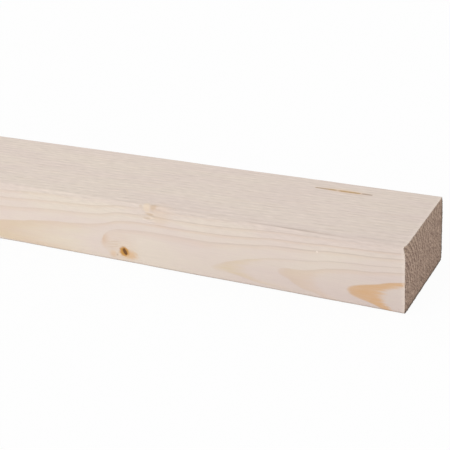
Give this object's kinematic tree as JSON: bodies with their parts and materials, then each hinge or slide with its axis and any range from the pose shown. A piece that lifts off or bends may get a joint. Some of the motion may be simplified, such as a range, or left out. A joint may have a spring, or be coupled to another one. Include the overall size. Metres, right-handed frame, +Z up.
{
  "type": "timber lumber plank",
  "caption": "Straight length of planed pale softwood with a rectangular section, eased long edges, square saw-cut ends and a small resin pocket; general framing stock laid on its wide face.",
  "frame": {"origin": "middle of the wide face that the plank lies on", "axes": "+X along the length towards the end beside the resin pocket, +Y across the width towards the edge nearer that pocket, +Z up through the thickness"},
  "size_m": [2.4, 0.063, 0.038],
  "materials": {
    "spruce": "planed bare softwood, matt, with rough saw-cut ends"
  },
  "bodies": {
    "root": {"plank": "spruce"}
  },
  "joints": []
}
